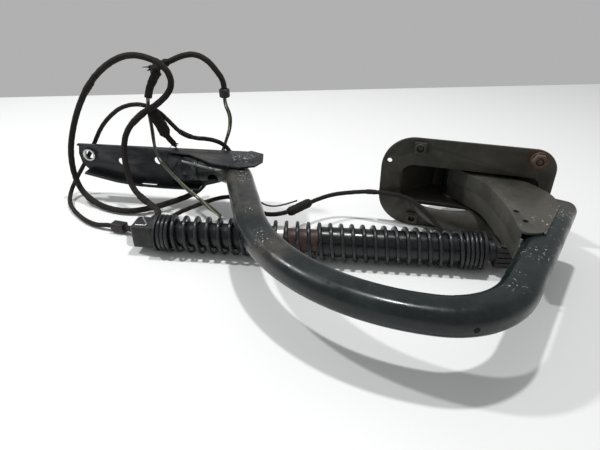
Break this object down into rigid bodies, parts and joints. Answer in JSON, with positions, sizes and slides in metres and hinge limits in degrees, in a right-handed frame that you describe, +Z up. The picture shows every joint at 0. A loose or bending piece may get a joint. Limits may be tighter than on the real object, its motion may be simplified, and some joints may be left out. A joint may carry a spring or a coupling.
{
  "type": "boot lid gooseneck hinge",
  "caption": "Gooseneck boot-lid hinge with slotted base plate, lid bracket, coil-spring spindle drive and a stiff taped wiring loom, lying on its side.",
  "frame": {"origin": "bottom centre of the box of all rigid pieces, on the surface that the hinge lies on", "axes": "+X along the base plate's long side, away from the lid bracket; +Y the way the plate's back faces; +Z up, along the hinge pin"},
  "size_m": [0.647, 0.3284, 0.2024],
  "materials": {
    "plate_steel": "satin e-coat over pressed sheet",
    "rusty_steel": "rusted steel",
    "bright_steel": "zinc-plated or bare steel",
    "arm_coat": "semi-gloss dark e-coat",
    "shell_coat": "satin e-coat",
    "bush_polymer": "moulded bearing polymer",
    "black_plastic": "moulded glass-filled plastic",
    "spring_steel": "semi-gloss coated spring wire",
    "drive_tube": "black coated tube",
    "brown_tube": "brown primer with surface rust",
    "cloth_tape": "wound cloth harness tape",
    "wire_sheath": "thin insulated wires"
  },
  "bodies": {
    "base": {"base_plate": "plate_steel", "weld_nut_square": "plate_steel", "weld_nut_flanged": "rusty_steel", "weld_nut_lower_left": "rusty_steel", "weld_nut_lower_right": "rusty_steel", "hinge_housing": "plate_steel", "pivot_pin": "bright_steel", "pivot_nut": "rusty_steel", "thrust_washer_lower": "bright_steel", "thrust_washer_upper": "bright_steel"},
    "arm": {"gooseneck_tube": "arm_coat", "tube_end_plug": "arm_coat", "arm_shell_upper": "shell_coat", "arm_shell_lower": "shell_coat", "pivot_barrel": "arm_coat", "pivot_bush_lower": "bush_polymer", "pivot_bush_upper": "bush_polymer", "lid_bracket": "arm_coat", "lid_ring_nut": "bright_steel", "ball_stud": "bright_steel", "stud_nut": "bright_steel", "main_loom": "cloth_tape", "sensor_loom": "cloth_tape", "branch_loom": "cloth_tape", "branch_grommet": "black_plastic", "branch_wires": "wire_sheath", "down_loom": "cloth_tape", "down_wires": "wire_sheath", "tape_flag": "cloth_tape"},
    "push_unit": {"ball_socket_right": "black_plastic", "socket_clip_right": "bright_steel", "guide_tube": "drive_tube", "spring_seat_right": "black_plastic", "push_tube": "drive_tube", "spindle_nut": "bush_polymer", "main_spring": "spring_steel", "drive_lead": "cloth_tape", "lead_wire": "wire_sheath"},
    "motor_unit": {"ball_socket_left": "black_plastic", "socket_clip_left": "bright_steel", "spring_seat_left": "black_plastic", "motor_tube": "drive_tube", "crimp_ring": "bright_steel", "spindle_tube": "brown_tube", "motor_can": "drive_tube", "gearbox": "drive_tube", "spindle_bearing": "bright_steel", "loom_gland": "black_plastic", "lead_gland": "black_plastic", "sensor_sleeve": "cloth_tape", "sensor_connector": "black_plastic"},
    "spindle": {"spindle": "bright_steel"}
  },
  "joints": [
    {"name": "arm_pivot", "type": "hinge", "parent": "base", "child": "arm", "pos_m": [0.1888, 0.1382, 0.058], "axis": [0, 0, -1], "range_deg": [0, 80]},
    {"name": "drive_swing", "type": "hinge", "parent": "arm", "child": "push_unit", "pos_m": [0.249, 0.0324, 0.0218], "axis": [0, 0, -1], "range_deg": [-93, 0]},
    {"name": "drive_extend", "type": "slide", "parent": "push_unit", "child": "motor_unit", "axis": [-0.9813, -0.1922, 0], "range_m": [-0.1405, 0], "deforming": ["main_spring"]},
    {"name": "spindle_spin", "type": "hinge", "parent": "motor_unit", "child": "spindle", "pos_m": [-0.1502, -0.0458, 0.0218], "axis": [0.9813, 0.1922, 0], "range_deg": [-5, 2600]}
  ],
  "couplings": [
    {"joint": "drive_swing", "follows": "arm_pivot", "ratio": -1.1538},
    {"joint": "drive_extend", "follows": "arm_pivot", "m_per_rad": -0.10027},
    {"joint": "spindle_spin", "follows": "arm_pivot", "ratio": 31.5}
  ]
}
